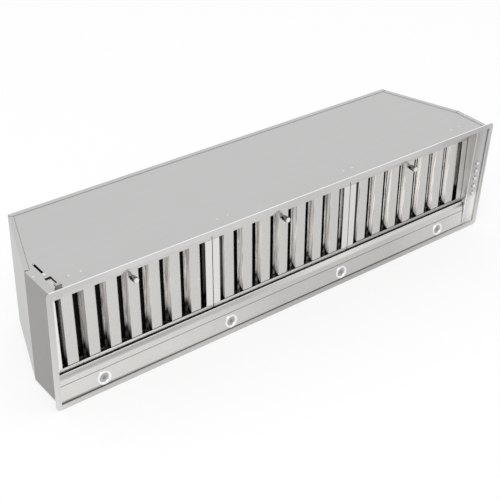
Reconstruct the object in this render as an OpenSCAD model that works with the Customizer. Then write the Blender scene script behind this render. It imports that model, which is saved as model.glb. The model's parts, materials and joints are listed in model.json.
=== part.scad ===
// Range hood insert: a folded steel liner with lamps, baffle filters, controls and a blower.
// It lies on its long wall: X runs along it, Y from the intake face to the duct, Z upwards.

/* [Housing] */
// Length of the trim flange
flange_l = 1165; // [1100:1:1400]
// Width of the trim flange
flange_w = 272.5; // [265:0.5:320]
// How far the flange stands out past the walls
flange_lap = 9.7; // [8:0.1:20]
// Sheet of the flange
flange_t = 1.2; // [0.8:0.1:2]
// Width of the hem folded back under the flange's edge
hem_w = 6; // [4:0.5:8]
// Radius of the flange's corners
corner_r = 10; // [6:1:20]
// Depth of the collar that the flange is riveted by
collar_d = 15; // [12:1:20]
// Depth of the body from the flange to the duct plate
body_d = 287; // [280:1:340]
// Depth of the straight part of the end panels
straight_d = 98; // [90:1:120]
// How far each end panel leans in over the tapered part
end_inset = 68; // [40:1:90]
// Sheet of the walls
sheet_t = 1; // [0.8:0.1:1.5]
// Width of the lips folded over the long walls
lip_w = 10; // [8:1:14]
// Gap left between lips that meet
lip_gap = 1; // [0.5:0.1:2]

/* [Light panel] */
// Height of the sloping lamp face
lamp_face_h = 39; // [34:1:44]
// How far the lamp face sinks in over its height
lamp_face_sink = 3.6; // [2:0.1:6]
// Height of the narrow strip above the lamp face
strip_h = 10.5; // [8:0.5:14]
// How far the narrow strip sinks in
strip_sink = 2.2; // [1:0.1:4]
// Width of the rounded nose
nose_h = 9; // [6:0.5:10]
// Depth of the rounded nose
nose_d = 7.2; // [5:0.5:8]
// Number of lamps
lamp_n = 4; // [2:1:5]
// Middle of the first lamp from the flange's end
lamp_x = 108; // [80:1:140]
// Middle of the last lamp from the flange's far end
lamp_far = 135.5; // [110:0.5:160]
// Middle of the lamps above the flange's lower edge
lamp_z = 30; // [28:0.5:34]
// Outside diameter of a lamp bezel
bezel_od = 31; // [26:0.5:34]
// Diameter of a lamp lens
lens_d = 20; // [14:0.5:22]
// Diameter of a lamp body
lamp_body_d = 26; // [22:0.5:28]
// Depth of a lamp body behind the face
lamp_body_l = 24; // [18:1:28]
// Height of the channel behind the lamps
channel_h = 49; // [48:0.5:50]
// Depth of the channel behind the lamps
channel_d = 42; // [40:1:48]

/* [Filters] */
// Number of filters
filter_n = 3; // [3:1:3]
// Thickness of a filter
filter_t = 20; // [18:0.5:20]
// Lean of the filters towards the duct side, degrees
filter_lean = 3.3; // [2:0.1:3.5]
// Depth of the filters' lower front edge
filter_y = 18.9; // [18.5:0.1:20]
// Height of the filters' lower front edge
filter_z = 71.5; // [71:0.5:74]
// Gap between neighbouring filters
filter_gap = 1.6; // [1:0.1:3]
// Sheet of the filter's channels
filter_sheet = 0.8; // [0.6:0.1:1]
// Width of the filter's side strips
side_strip_w = 16.5; // [12:0.5:20]
// Height of the bars along the filter's long edges
bar_h = 8; // [7:0.5:10]
// Cut corner of the side strips
strip_chamfer = 4; // [2:0.5:6]
// Number of front baffles
baffle_n = 7; // [5:1:7]
// Width of a front baffle
baffle_w = 25.5; // [22:0.5:28]
// Width of the slots beside the side strips
edge_slot = 11.9; // [8:0.1:16]
// Depth of a baffle's legs
baffle_leg = 11.6; // [11:0.1:12]
// How far a rear baffle reaches behind its two front ones
baffle_cover = 6; // [4:0.5:8]
// Diameter of the pull knob
knob_d = 12; // [9:0.5:14]
// Length of the pull knob
knob_l = 21; // [20:1:27]
// Drop of the knob from the filter's far edge
knob_drop = 19; // [17:0.5:22]
// How far a pull knob stands left of its baffle's middle
knob_left = 5.5; // [0:0.5:6]
// Diameter of the knob's stud
knob_stud_d = 4; // [3:0.5:5]

/* [Controls] */
// Width of the control face
control_w = 36.3; // [32:0.1:44]
// Depth of the control box
control_d = 56; // [52:1:70]
// Number of push buttons
button_n = 5; // [5:1:5]
// Distance between push buttons
button_pitch = 20; // [18:0.5:24]
// Height of the lowest push button
button_z = 94.5; // [90:0.5:110]
// Diameter of a push button
button_d = 9; // [7:0.5:10]
// How far a button stands out of the face
button_out = 3; // [2:0.1:4]
// Travel of a button
button_travel = 1.8; // [1:0.1:2]
// Diameter of the ring around a button
ring_d = 13; // [12:0.5:15]

/* [Blower] */
// Diameter of the blower wheel
wheel_d = 140; // [120:1:142]
// Length of the blower wheel
wheel_l = 118; // [100:1:130]
// Number of blades
blade_n = 36; // [24:1:40]
// Radial length of a blade
blade_w = 11; // [8:0.5:14]
// Width of the scroll
scroll_l = 130; // [124:1:140]
// Depth of the wheel's middle from the flange
wheel_y = 158; // [155:1:175]
// Diameter of the motor
motor_d = 86; // [70:1:92]
// Length of the motor
motor_l = 74; // [60:1:80]
// Diameter of the motor's shaft
shaft_d = 8; // [6:0.5:10]

/* [Duct collar] */
// Outside diameter of the duct collar
duct_d = 198; // [190:1:200]
// Height of the duct collar
duct_h = 40; // [36:1:60]
// Width of the collar's base ring
duct_base_w = 12; // [8:1:14]
// Diameter of the flap rod
flap_rod_d = 3; // [2.5:0.5:4]
// Height of the flap rod above the duct plate
flap_rod_h = 9; // [8:0.5:12]

/* [Wiring] */
// Diameter of the cable entry
entry_d = 22.2; // [20:0.1:28]
// Length of the junction box
junction_l = 110; // [90:1:140]
// Width of the junction box
junction_w = 70; // [60:1:90]
// Depth of the junction box
junction_d = 42; // [35:1:50]
// Diameter of the capacitor
capacitor_d = 34; // [25:1:40]
// Length of the capacitor
capacitor_l = 62; // [50:1:80]

/* [Mounting clamp] */
// Distance of the clamp from the flange's end
clamp_x = 35; // [34:0.5:40]
// Width of the clamp's foot
clamp_w = 13; // [10:0.5:16]
// Travel of the clamp along its screw
clamp_travel = 26; // [15:1:28]
// How far the clamp's foot stands out of the wall
clamp_out = 8; // [6:0.5:12]

/* [Hidden] */
$fn = 48;
steel = "#c4c3c1";
bright_steel = "#dddcda";
dark_steel = "#8f8f8f";
black = "#2a2a2a";

// Overrun of every cut
over = 1;
// Clearance between pieces of the housing that are slid together
fit_gap = 0.3;
// Radial clearance of a pin or shaft in its bore
run_gap = 0.06;

// Walls
end_x = flange_lap;
far_x = flange_l - flange_lap;
low_z = flange_lap;
high_z = flange_w - flange_lap;
in_x = end_x + sheet_t;
in_far = far_x - sheet_t;
in_low = low_z + sheet_t;
in_high = high_z - sheet_t;
mid_x = flange_l / 2;
mid_z = flange_w / 2;
overall_d = body_d + duct_h;
opening_x = in_x + sheet_t;
opening_far = far_x - 2 * sheet_t;
opening_low = in_low + sheet_t;
opening_high = in_high - sheet_t;
hem_t = flange_t;
lip_relief = 2;
bend_r = 0.9;
bend_steps = 4;
bend_least = 20;

// Rivets
rivet_d = 3.2;
rivet_head_d = 5.6;
rivet_head_h = 1;
rim_rivet_n = 7;
rim_rivet_first = 48.3;
rim_rivet_start = 160.8;
rim_rivet_end = 49.3;
rim_rivet_y = 10.5;
rail_rivet_n = 4;
rail_rivet_y = 42;
rail_rivet_in = 71.8;
rail_rivet_pair = 25.6;
lip_rivet_y = 74;

// Control box
control_x = opening_far - control_w;
control_y = 2.6;
control_foot = 12;

// Light panel and the channel behind it
panel_far = control_x - fit_gap;
panel_x = opening_x + fit_gap;
panel_z = opening_low + fit_gap;
panel_y = 2.4;
nose_steps = 6;
face_top = [panel_y + lamp_face_sink, panel_z + lamp_face_h];
strip_top = face_top + [strip_sink, strip_h];
channel_z = in_low + channel_h;
keeper_h = 7;
keeper_y = 24.6;
channel_foot = 10;
channel_rivet_y = channel_d + channel_foot / 2;

// Lamps
lamp_pitch = (flange_l - lamp_x - lamp_far) / (lamp_n - 1);
bezel_h = 2;
bezel_lip = 0.8;
face_lean = atan(lamp_face_sink / lamp_face_h);
lamp_y = panel_y + (lamp_z - panel_z) * tan(face_lean);
lens_t = 2;
fin_n = 5;
fin_d = lamp_body_d + 2;
fin_t = 1.2;
fin_pitch = 3;

// Filters
rail_drop = 19.8;
rail_z = in_high - rail_drop;
filter_top_gap = 2.8;
bay_w = (panel_far - panel_x) / filter_n;
filter_w = bay_w - filter_gap;
filter_h = (rail_z - filter_top_gap - filter_z) / cos(filter_lean);
baffles_x = side_strip_w + edge_slot;
baffle_pitch = (filter_w - 2 * baffles_x - baffle_w) / (baffle_n - 1);
baffle_end = 1.5;
strip_t = 0.6;
tongue_l = 60;
tongue_h = 10;
tongue_y = keeper_y - filter_y + fit_gap + tongue_h * sin(filter_lean);
tongue_inset = 40;
knob_slat = floor(baffle_n / 2);
knob_x = baffles_x + knob_slat * baffle_pitch + baffle_w / 2 - knob_left;
knob_chamfer = 1;
knob_neck_share = 0.8;
knob_neck_l = 5;
knob_nut_d = 7.2;
knob_nut_h = 3;
knob_stud_l = 6;

// Rear rail and its springs
rail_y = 28.5;
rail_d = 21.5;
rail_foot = 27;
rail_stop_h = 10;
spring_w = 14;
spring_t = 0.5;
spring_in_share = 0.22;
spring_shares = [0.8, 0.35, 0.2];
spring_gap = 0.9;
spring_drop = filter_top_gap - spring_t - spring_gap;

// Control details
switch_w = 22;
switch_d = 20;
ring_t = 1.2;
button_l = 15;
button_edge = 1;
board_t = 1.6;
board_w = 24;
chip_shares = [0.2, 0.45, 0.7];
chip_w = 12;
chip_h = 6;
cover_t = 1;

// Blower
wheel_r = wheel_d / 2;
wheel_ring_t = 1.5;
wheel_plate_t = 2;
hub_d = 26;
hub_l = 24;
blade_t = 0.8;
blade_bow = 35;
blade_margin = 0.5;
blade_steps = 4;
scroll_start_gap = 5.6;
scroll_end_gap = 30.8;
scroll_r0 = wheel_r + scroll_start_gap;
scroll_r1 = wheel_r + scroll_end_gap;
scroll_floor_gap = 1.4;
scroll_start = 75;
scroll_end = 360;
scroll_step = 15;
scroll_t = 1;
wheel_z = in_low + scroll_floor_gap + scroll_t + scroll_r(scroll_end / 2);
scroll_top = body_d - sheet_t;
inlet_margin = 3;
inlet_d = 2 * (wheel_r - blade_w + inlet_margin);
inlet_lip = 4;
scroll_x = mid_x - scroll_l / 2;
scroll_far = mid_x + scroll_l / 2;
motor_out = 36;
motor_x = scroll_x - motor_out;
motor_band_l = 14;
motor_band_t = 1.5;
arm_w = 12;
arm_t = 2;
motor_cap_h = 6;
motor_cap_d = 40;
arm_angles = [30, 150, 270];

// Duct collar
collar_t = 1;
flap_t = 0.8;
flap_gap = 1.6;
knuckle_t = 1.5;
knuckle_d = flap_rod_d + 2 * knuckle_t;
knuckle_l = 24;
knuckle_n = 3;
knuckle_gap = 0.5;
flap_rod_y = body_d + flap_rod_h;
duct_r = duct_d / 2;
duct_hole_d = duct_d - 2 * collar_t;
plate_hole_w = duct_hole_d / sqrt(2);
duct_plate_w = 240;
duct_plate_x = mid_x - duct_plate_w / 2;
splice_lap = 20;
outlet_w = duct_plate_w + 2 * splice_lap;
outlet_h = 226;

// Wiring
wiring_in = 147.3;
wiring_x = end_x + end_inset + wiring_in;
entry_x = wiring_x + junction_l / 2;
box_t = 1;
gland_hex = 30;
gland_h = 9;
gland_nut_h = 5;
gland_bore_d = 13;
driver_l = 120;
driver_w = 42;
driver_d = 26;
driver_ear = 10;
ear_t = 2;
strap_t = 1;
strap_w = 22;
strap_l = 68;
terminal_d = 12;
terminal_l = 4;
capacitor_gap = 6;
capacitor_x = mid_x + outlet_w / 2 + capacitor_gap + capacitor_d / 2;
driver_gap = 25;
driver_x = capacitor_x + capacitor_d / 2 + driver_gap;

// Mounting clamp
clamp_y = 17;
clamp_t = 2.5;
clamp_drop = 16;
foot_l = 8;
bracket_w = 18;
bracket_margin = 8;
window_margin = 1;
window_y = clamp_y - window_margin;
slot_y = 77;
slot_l = 32;
slot_w = 5;
screw_d = 5;
screw_head_d = 10;
screw_head_h = 3;
screw_y = 14.5;
clamp_floor = in_high - clamp_drop;
screw_z = clamp_floor + clamp_t + screw_d;
carriage_l = 18;
guide_w = 11.5;
guide_t = 1;
guide_l = 40;
guide_cut = 11;
guide_drop = 3.3;
guide_z = in_high - guide_drop;
window_d = clamp_travel + carriage_l - window_margin;

// Helpers for folded sheet
function unit(v) = v / norm(v);
function left_of(v) = [-v[1], v[0]];
function edge_dir(p, i) = unit(p[i + 1] - p[i]);
function fold_point(p, t, i) =
    let (n = len(p),
         a = edge_dir(p, max(i - 1, 0)),
         b = edge_dir(p, min(i, n - 2)),
         m = unit(left_of(a) + left_of(b)))
    p[i] + m * t / (m * left_of(a));
function sheet(p, t) = concat(p, [for (i = [len(p) - 1 : -1 : 0]) fold_point(p, t, i)]);
function turned(v, a) = [v[0] * cos(a) - v[1] * sin(a), v[0] * sin(a) + v[1] * cos(a)];
function turn_at(p, i) =
    let (a = edge_dir(p, i - 1), b = edge_dir(p, i)) atan2(left_of(a) * b, a * b);
// Arc of a bend at point i, whose radius is larger on the outer side of the sheet
function bend(p, t, i) =
    let (a = edge_dir(p, i - 1),
         turn = turn_at(p, i),
         side = sign(turn),
         r = bend_r + (turn * t > 0 ? abs(t) : 0),
         out = left_of(a) * side * r,
         middle = p[i] - a * r * tan(abs(turn) / 2) + out)
    [for (k = [0 : bend_steps]) middle - turned(out, turn * k / bend_steps)];
function bent(p, t) = concat([p[0]],
    [for (i = [1 : len(p) - 2]) each (abs(turn_at(p, i)) < bend_least ? [p[i]] : bend(p, t, i))],
    [p[len(p) - 1]]);
function folded(p, t) = sheet(bent(p, t), t);

module along_x(from, to) {
    translate([from, 0, 0]) rotate([90, 0, 90]) linear_extrude(to - from) children();
}

module along_y(from, to) {
    translate([0, to, 0]) rotate([90, 0, 0]) linear_extrude(to - from) children();
}

module along_z(from, to) {
    translate([0, 0, from]) linear_extrude(to - from) children();
}

module rod_x(d, from, to, y, z) {
    translate([from, y, z]) rotate([0, 90, 0]) cylinder(d = d, h = to - from);
}

module rod_y(d, from, to, x, z) {
    translate([x, to, z]) rotate([90, 0, 0]) cylinder(d = d, h = to - from);
}

module rod_z(d, from, to, x, y) {
    translate([x, y, from]) cylinder(d = d, h = to - from);
}

module rounded_rect(x0, z0, x1, z1, r) {
    translate([x0 + r, z0]) square([x1 - x0 - 2 * r, z1 - z0]);
    translate([x0, z0 + r]) square([x1 - x0, z1 - z0 - 2 * r]);
    for (x = [x0 + r, x1 - r], z = [z0 + r, z1 - r]) translate([x, z]) circle(r = r);
}

// Everything is drawn from the flange's lower left corner and centred here
module placed() {
    translate([-mid_x, -overall_d / 2, 0]) children();
}

// Housing
module flange_frame() {
    color(steel) placed() {
        along_y(0, flange_t) difference() {
            rounded_rect(0, 0, flange_l, flange_w, corner_r);
            rounded_rect(opening_x, opening_low, opening_far, opening_high, sheet_t);
        }
        along_y(flange_t, flange_t + hem_t) difference() {
            rounded_rect(0, 0, flange_l, flange_w, corner_r);
            rounded_rect(hem_w, hem_w, flange_l - hem_w, flange_w - hem_w, corner_r - hem_w);
        }
        difference() {
            along_y(flange_t, collar_d) difference() {
                rounded_rect(in_x, in_low, in_far, in_high, 2 * sheet_t);
                rounded_rect(opening_x, opening_low, opening_far, opening_high, sheet_t);
            }
            rivet_holes(rim_rivets(), [rim_rivet_y]);
        }
    }
}

// Outline of a long wall, seen along Z
module wall_outline(inset) {
    polygon([[end_x + inset, flange_t], [far_x - inset, flange_t], [far_x - inset, straight_d],
        [far_x - end_inset - inset, body_d - sheet_t], [end_x + end_inset + inset, body_d - sheet_t],
        [end_x + inset, straight_d]]);
}

function rim_rivets() =
    let (first = end_x + rim_rivet_start,
         pitch = (far_x - rim_rivet_end - first) / (rim_rivet_n - 1))
    concat([end_x + rim_rivet_first], [for (i = [0 : rim_rivet_n - 1]) first + i * pitch]);
function rail_rivets() =
    let (first = end_x + rail_rivet_in,
         pitch = (far_x - end_x - 2 * rail_rivet_in) / (rail_rivet_n - 1))
    [for (i = [0 : rail_rivet_n - 1], s = [-1, 1]) first + i * pitch + s * rail_rivet_pair / 2];

module rivet_holes(xs, ys) {
    for (x = xs, y = ys) rod_z(rivet_d, -over, flange_w + over, x, y);
}

module rear_wall() {
    color(steel) placed() difference() {
        along_z(high_z - sheet_t, high_z) wall_outline(sheet_t);
        rivet_holes(rim_rivets(), [rim_rivet_y]);
        rivet_holes(rail_rivets(), [rail_rivet_y]);
        translate([clamp_x - clamp_w / 2 - fit_gap, window_y, high_z - sheet_t - over])
            cube([clamp_w + 2 * fit_gap, window_d, sheet_t + 2 * over]);
        along_z(high_z - sheet_t - over, high_z + over) {
            translate([clamp_x - slot_w / 2, slot_y]) square([slot_w, slot_l]);
            for (y = [slot_y, slot_y + slot_l]) translate([clamp_x, y]) circle(d = slot_w);
        }
    }
}

module front_wall() {
    color(steel) placed() translate([0, 0, flange_w]) mirror([0, 0, 1]) difference() {
        along_z(high_z - sheet_t, high_z) wall_outline(sheet_t);
        rivet_holes(rim_rivets(), [rim_rivet_y]);
        rivet_holes(rail_rivets(), [channel_rivet_y]);
    }
}

function end_path() = [[end_x, flange_t], [end_x, straight_d],
    [end_x + end_inset, body_d]];
function end_run() = norm(end_path()[2] - end_path()[1]);
function end_angle() = atan(end_inset / (body_d - straight_d));

// Web of an end panel with its lips over both long walls
module end_panel() {
    along_z(low_z - sheet_t, high_z + sheet_t) difference() {
        polygon(concat(end_path(), [fold_point(end_path(), -sheet_t, 2),
            fold_point(end_path(), -sheet_t, 1), fold_point(end_path(), -sheet_t, 0)]));
        translate([end_x, body_d - sheet_t]) square([end_inset + over, sheet_t + over]);
    }
    for (z = [low_z - sheet_t, high_z]) {
        difference() {
            along_z(z, z + sheet_t) {
                translate([end_x, flange_t + hem_t])
                    square([lip_w, straight_d - lip_relief - flange_t - hem_t]);
                translate([end_x, straight_d]) rotate(-end_angle())
                    translate([0, lip_relief]) square([lip_w, end_run() - lip_w - lip_relief]);
            }
            rod_z(rivet_d, z - over, z + sheet_t + over, end_x + lip_w / 2, lip_rivet_y);
        }
    }
}

module left_end_panel() {
    color(steel) placed() end_panel();
}

module right_end_panel() {
    color(steel) placed() translate([flange_l, 0, 0]) mirror([1, 0, 0]) end_panel();
}

// Sheet of the duct side from one place to another, with lips over both long walls
module duct_sheet(from, to, from_gap, to_gap) {
    translate([from, body_d - sheet_t, low_z - sheet_t])
        cube([to - from, sheet_t, high_z - low_z + 2 * sheet_t]);
    for (z = [low_z - sheet_t, high_z]) along_z(z, z + sheet_t)
        polygon([[from, body_d - sheet_t], [from + from_gap, body_d - lip_w],
            [to - to_gap, body_d - lip_w], [to, body_d - sheet_t]]);
}

module left_duct_panel() {
    color(steel) placed() difference() {
        duct_sheet(end_x + end_inset, duct_plate_x - fit_gap, lip_gap, 0);
        rod_y(entry_d, body_d - sheet_t - over, body_d + over, entry_x, mid_z);
    }
}

module duct_plate() {
    color(steel) placed() difference() {
        duct_sheet(duct_plate_x, duct_plate_x + duct_plate_w, 0, 0);
        translate([mid_x - plate_hole_w / 2, body_d - sheet_t - over, mid_z - plate_hole_w / 2])
            cube([plate_hole_w, sheet_t + 2 * over, plate_hole_w]);
    }
}

module right_duct_panel() {
    color(steel) placed()
        duct_sheet(duct_plate_x + duct_plate_w + fit_gap, far_x - end_inset, 0, lip_gap);
}

// Light panel
function nose_arc() = [for (i = [1 : nose_steps])
    let (a = 90 * i / nose_steps)
    strip_top + [nose_d * (1 - cos(a)), nose_h * sin(a)]];

module light_panel() {
    path = concat([[collar_d - fit_gap, panel_z], [panel_y, panel_z], face_top, strip_top], nose_arc());
    color(steel) placed() difference() {
        along_x(panel_x, panel_far) polygon(folded(path, -sheet_t));
        each_lamp() translate([0, 0, -over]) cylinder(d = lamp_body_d + 2 * fit_gap, h = bezel_od);
    }
}

// Children stand on the lamp face with Z pointing into the body
module each_lamp() {
    for (i = [0 : lamp_n - 1]) translate([lamp_x + i * lamp_pitch, lamp_y, lamp_z])
        rotate([-90 - face_lean, 0, 0]) children();
}

module lamp_channel() {
    path = [[keeper_y, channel_z + keeper_h], [keeper_y, channel_z], [channel_d, channel_z],
        [channel_d, in_low + sheet_t], [channel_d + channel_foot, in_low + sheet_t]];
    color(steel) placed() difference() {
        along_x(panel_x, panel_far) polygon(folded(path, -sheet_t));
        rivet_holes(rail_rivets(), [channel_rivet_y]);
    }
}

module lamp_bezels() {
    color(bright_steel) placed() each_lamp() rotate_extrude()
        polygon([[lens_d / 2, 0], [lens_d / 2 + bezel_lip, -bezel_h / 2],
            [bezel_od / 2 - 2 * bezel_lip, -bezel_h], [bezel_od / 2 - bezel_lip, -bezel_h],
            [bezel_od / 2, -bezel_lip], [bezel_od / 2, 0]]);
}

module lamp_lenses() {
    color("#e8e8ea") placed() each_lamp() cylinder(d = lens_d - 2 * fit_gap, h = lens_t);
}

module lamp_bodies() {
    color(dark_steel) placed() each_lamp() {
        difference() {
            cylinder(d = lamp_body_d, h = lamp_body_l);
            translate([0, 0, -over]) cylinder(d = lens_d, h = lens_t + over);
        }
        for (i = [0 : fin_n - 1]) translate([0, 0, lamp_body_l - fin_t - i * fin_pitch])
            cylinder(d = fin_d, h = fin_t);
    }
}

// Filters
module rear_filter_rail() {
    path = [[rail_y + rail_foot, in_high], [rail_y, in_high], [rail_y, rail_z],
        [rail_y + rail_d, rail_z], [rail_y + rail_d, rail_z - rail_stop_h]];
    color(steel) placed() difference() {
        along_x(panel_x, panel_far) polygon(folded(path, sheet_t));
        rivet_holes(rail_rivets(), [rail_rivet_y]);
        translate([clamp_x - bracket_w / 2, rail_y - over, rail_z + 2 * sheet_t])
            cube([bracket_w, rail_foot + 2 * over, rail_foot]);
    }
}

module catch_springs() {
    flat_z = rail_z - spring_t;
    path = [[rail_y + spring_shares[0] * rail_d, flat_z], [rail_y + spring_shares[1] * rail_d, flat_z],
        [rail_y + spring_shares[2] * rail_d, flat_z - spring_drop], [rail_y, flat_z]];
    color(bright_steel) placed() for (k = [0 : filter_n - 1], s = [spring_in_share, 1 - spring_in_share])
        translate([panel_x + (k + s) * bay_w - spring_w / 2, 0, 0])
            along_x(0, spring_w) polygon(sheet(path, -spring_t));
}

// Local axes of filter k: X along it, Y through it, Z up its height
module filter_place(k) {
    placed() translate([panel_x + k * bay_w + filter_gap / 2, filter_y, filter_z])
        rotate([-filter_lean, 0, 0]) children();
}

module filter_frame(k) {
    s = filter_sheet;
    color(bright_steel) filter_place(k) {
        difference() {
            cube([filter_w, filter_t, filter_h]);
            translate([s, s, s]) cube([filter_w - 2 * s, filter_t - 2 * s, filter_h - 2 * s]);
            translate([side_strip_w, -over, bar_h])
                cube([filter_w - 2 * side_strip_w, filter_t + 2 * over, filter_h - 2 * bar_h]);
        }
        for (m = [0, 1]) translate([m * filter_w, 0, 0]) mirror([m, 0, 0])
            along_y(-strip_t, 0) polygon([[0, bar_h], [side_strip_w - strip_chamfer, bar_h],
                [side_strip_w, bar_h + strip_chamfer],
                [side_strip_w, filter_h - bar_h - strip_chamfer],
                [side_strip_w - strip_chamfer, filter_h - bar_h], [0, filter_h - bar_h]]);
        for (x = [tongue_inset, filter_w - tongue_inset - tongue_l])
            translate([x, tongue_y, -tongue_h]) cube([tongue_l, sheet_t, tongue_h]);
    }
}

module front_baffles(k) {
    s = filter_sheet;
    path = [[0, s + baffle_leg], [0, s], [baffle_w, s], [baffle_w, s + baffle_leg]];
    color(bright_steel) filter_place(k) difference() {
        for (i = [0 : baffle_n - 1]) translate([baffles_x + i * baffle_pitch, 0, 0])
            along_z(baffle_end, filter_h - baffle_end) polygon(folded(path, s));
        rod_y(knob_stud_d + 2 * run_gap, 0, filter_t / 2, knob_x, filter_h - knob_drop);
    }
}

// Edges of the rear baffles: each closes one slot between two front baffles
function rear_left(i) = i == 0 ? 2 * baffle_end
    : baffles_x + (i - 1) * baffle_pitch + baffle_w - baffle_cover;
function rear_right(i) = i == baffle_n ? filter_w - 2 * baffle_end
    : baffles_x + i * baffle_pitch + baffle_cover;

module rear_baffles(k) {
    s = filter_sheet;
    back = filter_t - s;
    color(bright_steel) filter_place(k) for (i = [0 : baffle_n])
        let (path = [[rear_right(i), back - baffle_leg], [rear_right(i), back],
            [rear_left(i), back], [rear_left(i), back - baffle_leg]])
        along_z(baffle_end, filter_h - baffle_end) polygon(folded(path, s));
}

module filter_knob(k) {
    r = knob_d / 2;
    neck = r * knob_neck_share;
    color(bright_steel) filter_place(k)
        translate([knob_x, filter_sheet, filter_h - knob_drop])
        rotate([90, 0, 0]) {
            rotate_extrude() polygon([[0, 0], [neck, 0], [neck, knob_neck_l],
                [r, knob_neck_l + knob_chamfer], [r, knob_l - knob_chamfer], [r - knob_chamfer, knob_l], [0, knob_l]]);
            translate([0, 0, -knob_stud_l]) cylinder(d = knob_stud_d, h = knob_stud_l);
            translate([0, 0, -filter_sheet - knob_nut_h]) cylinder(d = knob_nut_d, h = knob_nut_h, $fn = 6);
        }
}

// Controls
module each_button() {
    for (i = [0 : button_n - 1])
        translate([control_x + control_w / 2, control_y, button_z + i * button_pitch]) children();
}

module control_panel() {
    path = [[opening_far - fit_gap, collar_d - fit_gap], [opening_far - fit_gap, control_y],
        [control_x, control_y], [control_x, control_y + control_d],
        [control_x + control_foot, control_y + control_d]];
    color(steel) placed() difference() {
        along_z(opening_low + fit_gap, opening_high - fit_gap) polygon(folded(path, -sheet_t));
        each_button() rotate([90, 0, 0]) cylinder(d = ring_d - 2 * ring_t, h = 4 * over, center = true);
    }
}

module control_cover() {
    color(steel) placed() difference() {
        translate([control_x + fit_gap, control_y + control_d + fit_gap, opening_low])
            cube([in_far - control_x - 2 * fit_gap, cover_t, opening_high - opening_low]);
        rod_y(entry_d / 2, control_y, control_y + control_d + over + cover_t,
            control_x + control_w / 2, opening_high - entry_d);
    }
}

module switch_bank() {
    z0 = button_z - button_pitch / 2;
    color(black) placed() difference() {
        translate([control_x + (control_w - switch_w) / 2, control_y + sheet_t, z0])
            cube([switch_w, switch_d, button_n * button_pitch]);
        each_button() rotate([-90, 0, 0])
            cylinder(d = button_d + 2 * run_gap + 2 * fit_gap, h = button_l + button_travel);
    }
}

module button_rings() {
    color(dark_steel) placed() each_button() rotate([90, 0, 0]) difference() {
        union() {
            cylinder(d = ring_d, h = ring_t);
            translate([0, 0, -sheet_t]) cylinder(d = ring_d - 2 * ring_t, h = sheet_t);
        }
        translate([0, 0, -over - sheet_t])
            cylinder(d = button_d + 2 * fit_gap, h = ring_t + sheet_t + 2 * over);
    }
}

module push_button(i) {
    r = button_d / 2;
    color(bright_steel) placed()
        translate([control_x + control_w / 2, control_y - button_out, button_z + i * button_pitch])
        rotate([-90, 0, 0]) rotate_extrude()
            polygon([[0, 0], [r - button_edge, 0], [r, button_edge], [r, button_l], [0, button_l]]);
}

module control_board() {
    y = control_y + sheet_t + switch_d;
    color("#2f6b3c") placed()
        translate([control_x + (control_w - board_w) / 2, y, button_z - button_pitch])
            cube([board_w, board_t, (button_n + 1) * button_pitch]);
    color(black) placed() for (s = chip_shares)
        translate([control_x + (control_w - chip_w) / 2, y + board_t,
            button_z - button_pitch + s * (button_n + 1) * button_pitch])
            cube([chip_w, chip_h, chip_w]);
}

// Blower
function scroll_r(a) = scroll_r0 + (scroll_r1 - scroll_r0) * (a - scroll_start)
    / (scroll_end - scroll_start);
// Points of the scroll in the plane of Y and Z, with the outlet towards the duct
function scroll_pts() = [for (a = [scroll_start : scroll_step : scroll_end])
    [wheel_y + scroll_r(a) * sin(a), wheel_z + scroll_r(a) * cos(a)]];
function scroll_wall() = concat([[scroll_top, scroll_pts()[0][1]]], scroll_pts(),
    [[scroll_top, wheel_z + scroll_r1]]);

module scroll_band() {
    color(dark_steel) placed() along_x(scroll_x, scroll_far) polygon(sheet(scroll_wall(), scroll_t));
}

module scroll_side() {
    difference() {
        union() {
            along_x(-scroll_t, 0) polygon(scroll_outline());
            rod_x(inlet_d + 2 * scroll_t, -inlet_lip, 0, wheel_y, wheel_z);
        }
        rod_x(inlet_d, -inlet_lip - over, over, wheel_y, wheel_z);
    }
}

function scroll_outline() = [for (i = [0 : len(scroll_wall()) - 1])
    fold_point(scroll_wall(), scroll_t, i)];

module scroll_side_left() {
    color(dark_steel) placed() translate([scroll_x, 0, 0]) scroll_side();
}

module scroll_side_right() {
    color(dark_steel) placed() translate([scroll_far, 0, 0]) mirror([1, 0, 0]) scroll_side();
}

// Plate behind the duct plate and its seams that carries the scroll by its outlet
module outlet_plate() {
    y1 = body_d - sheet_t;
    low = scroll_pts()[0][1] - scroll_t;
    color(steel) placed() difference() {
        translate([mid_x - outlet_w / 2, y1 - sheet_t, mid_z - outlet_h / 2])
            cube([outlet_w, sheet_t, outlet_h]);
        translate([scroll_x - scroll_t, y1 - sheet_t - over, low])
            cube([scroll_l + 2 * scroll_t, sheet_t + 2 * over, wheel_z + scroll_r1 + scroll_t - low]);
    }
}

module blade_outline() {
    inner = wheel_r - blade_w + blade_margin;
    span = blade_w - 2 * blade_margin;
    arc = [for (i = [0 : blade_steps]) let (s = i / blade_steps, r = inner + span * s,
        a = blade_bow * s * s * span / inner) r * [cos(a), sin(a)]];
    polygon(sheet(arc, blade_t));
}

module blower_wheel() {
    inner = wheel_r - blade_w;
    color(dark_steel) placed() translate([mid_x - wheel_l / 2, wheel_y, wheel_z]) {
        for (x = [0, wheel_l - wheel_ring_t]) along_x(x, x + wheel_ring_t) difference() {
            circle(r = wheel_r);
            circle(r = inner);
        }
        along_x(wheel_ring_t, wheel_l - wheel_ring_t) for (i = [0 : blade_n - 1])
            rotate(360 * i / blade_n) blade_outline();
        difference() {
            union() {
                rod_x(wheel_d, (wheel_l - wheel_plate_t) / 2, (wheel_l + wheel_plate_t) / 2, 0, 0);
                rod_x(hub_d, (wheel_l - wheel_plate_t) / 2, (wheel_l + wheel_plate_t) / 2 + hub_l, 0, 0);
            }
            rod_x(shaft_d + 2 * run_gap, 0, wheel_l, 0, 0);
        }
    }
}

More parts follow.
